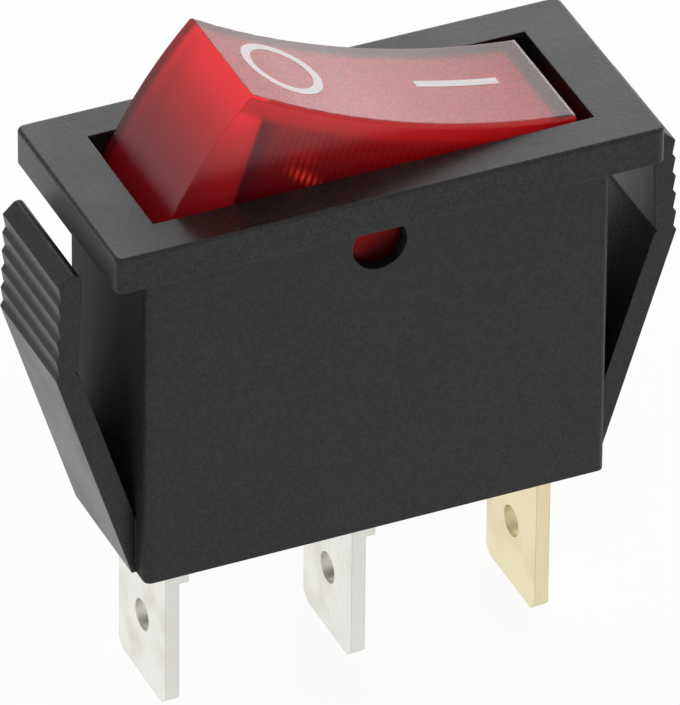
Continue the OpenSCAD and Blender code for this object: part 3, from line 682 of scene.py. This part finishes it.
FINISHES = {
    "housing": dull_ends(
        moulded_plastic("black_nylon", (0.012, 0.012, 0.0122, 1.0), rough=0.36,
                        grain_size=0.1 * MM, grain_depth=0.014 * MM, edge=0.1 * MM,
                        specular=0.35, speckle=0.9),
        END_WALL_ROUGH),
    "lamp_holder": moulded_plastic(
        "black_holder", (0.03, 0.03, 0.03, 1.0), rough=0.45,
        grain_size=0.12 * MM, grain_depth=0.004 * MM, edge=0.08 * MM),
    "rocker_lens": clear_red(),
    "plunger": moulded_plastic(
        "white_acetal", (0.82, 0.8, 0.74, 1.0), rough=0.32,
        grain_size=0.1 * MM, grain_depth=0.002 * MM, edge=0.06 * MM),
    "lead_sleeve": moulded_plastic(
        "sleeve", (0.85, 0.84, 0.8, 1.0), rough=0.5,
        grain_size=0.08 * MM, grain_depth=0.003 * MM, edge=0.03 * MM),
    "load_terminal": sheet_metal(
        "plated_strip", (0.86, 0.85, 0.8, 1.0), rough=0.32,
        stain_colour=(0.6, 0.58, 0.5, 1.0), stain_share=0.6),
    "neutral_terminal": sheet_metal(
        "brass_strip", (0.88, 0.79, 0.52, 1.0), rough=0.34,
        stain_colour=(0.7, 0.58, 0.32, 1.0), stain_share=0.5),
    "contact_bridge": sheet_metal(
        "copper_strip", (0.82, 0.5, 0.36, 1.0), rough=0.28,
        stain_colour=(0.55, 0.3, 0.2, 1.0), stain_share=0.4),
    "load_contact": sheet_metal(
        "silver_button", (0.85, 0.84, 0.82, 1.0), rough=0.25,
        stain_colour=(0.6, 0.58, 0.55, 1.0), stain_share=0.4, edge=0.05 * MM),
    "lamp_spring": drawn_wire("spring_wire", (0.62, 0.62, 0.64, 1.0), rough=0.3),
    "neon_bulb": lamp_glass(),
    "front_electrode": glowing_electrode(BULB_LOW_X + GLOW_L),
    "resistor": banded_resistor(RESISTOR_LO, RESISTOR_HI),
    "resistor_leads": drawn_wire("tinned_lead", (0.72, 0.71, 0.68, 1.0), rough=0.35),
}
SHARED = {"line_terminal": "load_terminal", "bridge_contact": "load_contact",
          "plunger_spring": "lamp_spring", "rear_electrode": "front_electrode"}

for node, obj in frame["nodes"].items():
    finish = FINISHES[SHARED.get(node, node)]
    obj.data.materials.clear()
    obj.data.materials.append(finish)

# ---------------------------------------------------------------- new pieces


def from_rocker(points):
    """Points of the rocker's own frame, put into the row frame."""
    turn = np.array(Matrix.Rotation(ROCKER_TILT, 3, "Y"))
    return points @ turn.T + np.array(PIVOT)


def add_piece(name, points, faces, material):
    """A mesh object at the origin, in the scene."""
    mesh = bpy.data.meshes.new(name)
    mesh.from_pydata(points, [], faces)
    mesh.update()
    mesh.materials.append(material)
    obj = bpy.data.objects.new(name, mesh)
    bpy.context.scene.collection.objects.link(obj)
    return obj


# ---------------------------------------------------------------- print on the rocker


def dish_height(x):
    """Height of the rocker's dished top over its pivot: an arc of radius DISH_R that reaches
    RIDGE_H at the two ridges."""
    return RIDGE_H - DISH + DISH_R - np.sqrt(DISH_R**2 - x**2)


def printed_patch(name, x, y, closed_u):
    """A thin closed patch of ink that follows the dish, riding on the rocker. x and y are grids of
    its plan; its top lies PRINT_T above the dish, its foot just under the dish's face, and a rim
    joins the two. closed_u says that the grid's first index runs round a ring."""
    tops = np.stack([x, y, dish_height(x) + PRINT_T], axis=-1)
    foot = np.stack([x, y, dish_height(x) - 0.2 * PRINT_T], axis=-1)
    nu, nv = x.shape
    points = from_rocker(np.concatenate([tops.reshape(-1, 3), foot.reshape(-1, 3)]))
    index = np.arange(nu * nv).reshape(nu, nv)
    if closed_u:
        index = np.vstack([index, index[:1]])
    a, b = index[:-1, :-1], index[1:, :-1]
    c, d = index[1:, 1:], index[:-1, 1:]
    top = np.stack([a, b, c, d], axis=-1).reshape(-1, 4)
    below = top[:, ::-1] + nu * nv
    rims = [index[:, 0][::-1], index[:, -1]]
    if not closed_u:
        rims += [index[0, :], index[-1, :][::-1]]
    walls = [np.stack([r[:-1], r[:-1] + nu * nv, r[1:] + nu * nv, r[1:]], axis=-1) for r in rims]
    faces = np.concatenate([top, below] + walls)
    obj = add_piece(name, points.tolist(), faces.tolist(), PRINT)
    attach(obj, "rocker")


def ring_grid(place, radius, stroke, turns=96, across=5):
    """Plan of a ring with a radius along X and one along Y: angle round it by distance across its
    stroke."""
    angle = np.linspace(0.0, 2 * np.pi, turns, endpoint=False)[:, None]
    out = stroke * np.linspace(-0.5, 0.5, across)[None, :]
    x = place[0] + (radius[0] + out) * np.cos(angle)
    y = place[1] + (radius[1] + out) * np.sin(angle)
    return x, y


def bar_grid(place, length, width, along=24, across=5):
    """Plan of a straight bar along the rocker."""
    x = place[0] + length * np.linspace(-0.5, 0.5, along)[:, None] + np.zeros((1, across))
    y = place[1] + width * np.linspace(-0.5, 0.5, across)[None, :] + np.zeros((along, 1))
    return x, y


PRINT = white_print()
printed_patch("off_ring", *ring_grid(RING_PLACE, RING_R, RING_STROKE), closed_u=True)
printed_patch("on_bar", *bar_grid(BAR_PLACE, BAR_L, BAR_W), closed_u=False)

# ---------------------------------------------------------------- plunger spring


def coil_points(coil_r, wire_r, low, high, turns, per_turn=24, sides=12):
    """A round wire of radius wire_r wound on the Z axis: at angle a round the axis and b round the
    wire, x = r cos a, y = r sin a and z = low + wire_r + climb * a + wire_r sin b, with
    r = coil_r + wire_r cos b."""
    a = np.linspace(0.0, 2 * np.pi * turns, turns * per_turn + 1)[:, None]
    b = np.linspace(0.0, 2 * np.pi, sides, endpoint=False)[None, :]
    r = coil_r + wire_r * np.cos(b)
    climb = (high - low - 2 * wire_r) / (2 * np.pi * turns)
    z = low + wire_r + climb * a + wire_r * np.sin(b)
    return np.stack([r * np.cos(a), r * np.sin(a), z], axis=-1)


def make_plunger_spring():
    """The spring inside the plunger, built as a fixed coil that rides on the rocker; the real one
    shortens as the plunger goes in.
    """
    (_, _, low), (_, _, high) = in_rocker("plunger_spring")
    grid = coil_points(COIL_R, WIRE_R, low, high, COIL_TURNS)
    steps, sides = grid.shape[:2]
    index = np.arange(steps * sides).reshape(steps, sides)
    index = np.hstack([index, index[:, :1]])
    walls = np.stack([index[:-1, :-1], index[:-1, 1:], index[1:, 1:], index[1:, :-1]], axis=-1)
    ends = [index[0, :-1][::-1].tolist(), index[-1, :-1].tolist()]
    obj = add_piece("plunger_coil", from_rocker(grid.reshape(-1, 3)).tolist(),
                    walls.reshape(-1, 4).tolist() + ends, FINISHES["lamp_spring"])
    obj.data.shade_smooth()
    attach(obj, "rocker")
    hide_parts("plunger_spring")
    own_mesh(obj)


make_plunger_spring()

# ---------------------------------------------------------------- stage


def floor_material():
    """Pale floor: for the camera it is nearly white by its own glow, with the shadow kept;
    reflections and the clear parts see it white. From beneath it isn't there."""
    mat, tree, shader = new_material("pale_floor")
    shader.inputs["Base Color"].default_value = (0.9, 0.9, 0.9, 1.0)
    shader.inputs["Roughness"].default_value = 0.9
    path = tree.nodes.new("ShaderNodeLightPath")
    glow = tree.nodes.new("ShaderNodeEmission")
    ray = path.outputs
    white = larger(tree, ray["Is Glossy Ray"], ray["Is Transmission Ray"])
    share = larger(tree, times(tree, white, REFLECTED_GLOW),
                   times(tree, ray["Is Camera Ray"], CAMERA_GLOW))
    mix = tree.nodes.new("ShaderNodeMixShader")
    tree.links.new(share, mix.inputs[0])
    glow.inputs["Strength"].default_value = FLOOR_WHITE
    tree.links.new(shader.outputs["BSDF"], mix.inputs[1])
    tree.links.new(glow.outputs["Emission"], mix.inputs[2])
    beneath = tree.nodes.new("ShaderNodeMixShader")
    geometry = tree.nodes.new("ShaderNodeNewGeometry")
    clear = tree.nodes.new("ShaderNodeBsdfTransparent")
    tree.links.new(geometry.outputs["Backfacing"], beneath.inputs[0])
    tree.links.new(mix.outputs["Shader"], beneath.inputs[1])
    tree.links.new(clear.outputs["BSDF"], beneath.inputs[2])
    out = next(n for n in tree.nodes if n.type == "OUTPUT_MATERIAL")
    tree.links.new(beneath.outputs["Shader"], out.inputs["Surface"])
    return mat


def make_floor():
    """A flat square of floor under the tabs."""
    s, z = FLOOR_HALF, LOW.z - FLOOR_DROP
    corners = [(-s, -s, z), (s, -s, z), (s, s, z), (-s, s, z)]
    obj = add_piece("floor", corners, [(0, 1, 2, 3)], floor_material())


def make_world(strength):
    """Even white surroundings; seen and reflected white, lighting the object at strength."""
    world = bpy.data.worlds.new("studio")
    bpy.context.scene.world = world
    world.use_nodes = True
    tree = world.node_tree
    tree.nodes.clear()
    back = tree.nodes.new("ShaderNodeBackground")
    ray = tree.nodes.new("ShaderNodeLightPath").outputs
    seen = larger(tree, ray["Is Camera Ray"], ray["Is Glossy Ray"])
    seen = larger(tree, seen, ray["Is Transmission Ray"])
    level = map_range(tree, seen, 0.0, 1.0, strength, 1.0, smooth=False)
    tree.links.new(level, back.inputs["Strength"])
    out = tree.nodes.new("ShaderNodeOutputWorld")
    tree.links.new(back.outputs["Background"], out.inputs["Surface"])


def softbox(name, azimuth, elevation, distance, size, radiance):
    """A rectangular area light at a bearing from the object, azimuth counted from +Y towards +X;
    its power is set so that its face shows the given radiance."""
    az, el = math.radians(azimuth), math.radians(elevation)
    away = Vector((math.sin(az) * math.cos(el), math.cos(az) * math.cos(el), math.sin(el)))
    data = bpy.data.lights.new(name, "AREA")
    data.shape = "RECTANGLE"
    data.size, data.size_y = size
    data.energy = radiance * math.pi * size[0] * size[1]
    obj = bpy.data.objects.new(name, data)
    obj.location = (LOW + HIGH) / 2 + away * distance
    obj.rotation_euler = away.to_track_quat("Z", "Y").to_euler()
    bpy.context.scene.collection.objects.link(obj)


make_floor()
make_world(WORLD_LIGHT)
softbox("back_softbox", azimuth=32.0, elevation=24.0, distance=0.6, size=(0.55, 0.45),
        radiance=2.0)
softbox("front_fill", azimuth=200.0, elevation=50.0, distance=0.8, size=(0.4, 0.4), radiance=0.8)

# ---------------------------------------------------------------- camera

VIEW_AZ = math.radians(24.158)
VIEW_EL = math.radians(35.02)
VIEW_ROLL = math.radians(-0.532)
VIEW_DISTANCE = 0.6649
VIEW_SHIFT = (-0.0387 * MM, -10.0756 * MM)
LENS_MM = 648.39
SENSOR_MM = 36.0


def make_camera():
    """A long lens a little to the left of the front and above: right, up and back are its axes."""
    flat = math.cos(VIEW_EL)
    back = Vector((-math.sin(VIEW_AZ) * flat, -math.cos(VIEW_AZ) * flat, math.sin(VIEW_EL)))
    level = Vector((math.cos(VIEW_AZ), -math.sin(VIEW_AZ), 0.0))
    upright = back.cross(level)
    right = math.cos(VIEW_ROLL) * level - math.sin(VIEW_ROLL) * upright
    up = math.sin(VIEW_ROLL) * level + math.cos(VIEW_ROLL) * upright
    data = bpy.data.cameras.new("camera")
    data.lens = LENS_MM
    data.sensor_width = SENSOR_MM
    data.clip_start = 0.01
    data.clip_end = 20.0
    obj = bpy.data.objects.new("camera", data)
    obj.matrix_world = Matrix((right, up, back)).transposed().to_4x4()
    obj.location = right * VIEW_SHIFT[0] + up * VIEW_SHIFT[1] + back * VIEW_DISTANCE
    bpy.context.scene.collection.objects.link(obj)
    bpy.context.scene.camera = obj


make_camera()
bpy.context.scene.view_settings.view_transform = "Standard"
